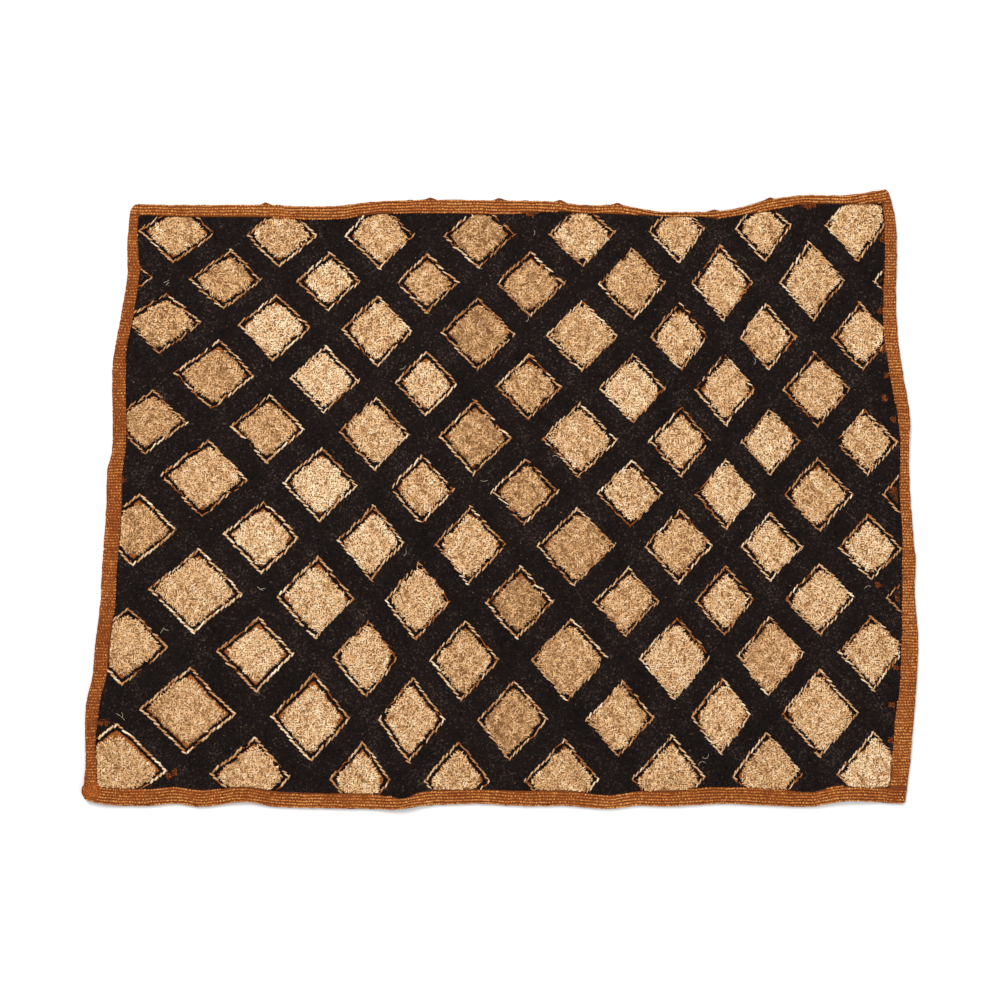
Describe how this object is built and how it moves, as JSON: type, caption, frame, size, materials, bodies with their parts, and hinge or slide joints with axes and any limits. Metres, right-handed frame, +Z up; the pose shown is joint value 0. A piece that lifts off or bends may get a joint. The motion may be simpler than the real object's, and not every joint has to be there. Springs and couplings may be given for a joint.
{
  "type": "kuba cloth",
  "caption": "Flat hand-woven raffia cloth with cut-pile embroidery: light lozenges in a dark lattice, outlined in stem stitch, with a plain hem turned to the front",
  "frame": {"origin": "middle of the cloth's underside, on the surface that it lies on", "axes": "+X along the long side, +Y towards the upper side as pictured, +Z up out of the worked face"},
  "size_m": [0.6402, 0.4748, 0.0057],
  "materials": {
    "raffia_cloth": "matte plain-woven raffia, orange brown",
    "dark_pile": "matte cut raffia pile, near black",
    "light_pile": "matte cut raffia pile, undyed straw",
    "light_thread": "stem-stitched raffia thread, undyed straw",
    "dark_thread": "stitched raffia thread, near black"
  },
  "bodies": {
    "root": {"raffia_panel": "raffia_cloth"}
  },
  "joints": []
}
